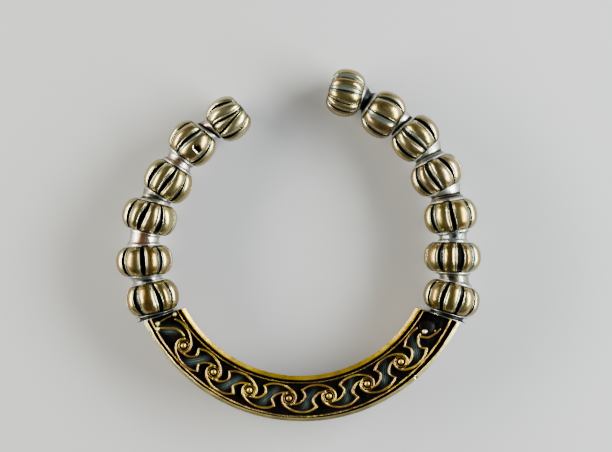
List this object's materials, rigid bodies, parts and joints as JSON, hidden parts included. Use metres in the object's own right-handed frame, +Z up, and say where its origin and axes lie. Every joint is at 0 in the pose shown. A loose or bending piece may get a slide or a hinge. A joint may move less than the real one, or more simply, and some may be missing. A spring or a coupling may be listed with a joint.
{
  "type": "beaded torc",
  "caption": "Iron Age beaded neck ring of patinated copper alloy: a crescent collar with a panel of running scrolls and two strings of ribbed melon beads with waisted spacers, open at the back.",
  "frame": {"origin": "middle of the footprint, on the surface the torc lies on", "axes": "+Z up out of the decorated face, +Y from the collar towards the open back, +X to the right as the decorated face is looked down on"},
  "size_m": [0.1632, 0.1584, 0.0258],
  "materials": {
    "collar_brass": "cast brass worn bright on the rims and scroll lines, black-green patina in the sunk panel",
    "bead_brass": "hammered and rubbed brass lobes, black patina in the channels",
    "spacer_brass": "paler, greyer worn metal with brown stains and bright rims",
    "rod_iron": "dark corroded iron"
  },
  "bodies": {
    "root": {"collar": "collar_brass", "bead_left_1": "bead_brass", "bead_left_2": "bead_brass", "bead_left_3": "bead_brass", "bead_left_4": "bead_brass", "bead_left_5": "bead_brass", "bead_left_6": "bead_brass", "spacer_left_1": "spacer_brass", "spacer_left_2": "spacer_brass", "spacer_left_3": "spacer_brass", "spacer_left_4": "spacer_brass", "spacer_left_5": "spacer_brass", "spacer_left_6": "spacer_brass", "rod_left": "rod_iron", "bead_right_1": "bead_brass", "bead_right_2": "bead_brass", "bead_right_3": "bead_brass", "bead_right_4": "bead_brass", "bead_right_5": "bead_brass", "bead_right_6": "bead_brass", "bead_right_7": "bead_brass", "spacer_right_1": "spacer_brass", "spacer_right_2": "spacer_brass", "spacer_right_3": "spacer_brass", "spacer_right_4": "spacer_brass", "spacer_right_5": "spacer_brass", "spacer_right_6": "spacer_brass", "spacer_right_7": "spacer_brass", "rod_right": "rod_iron"}
  },
  "joints": []
}
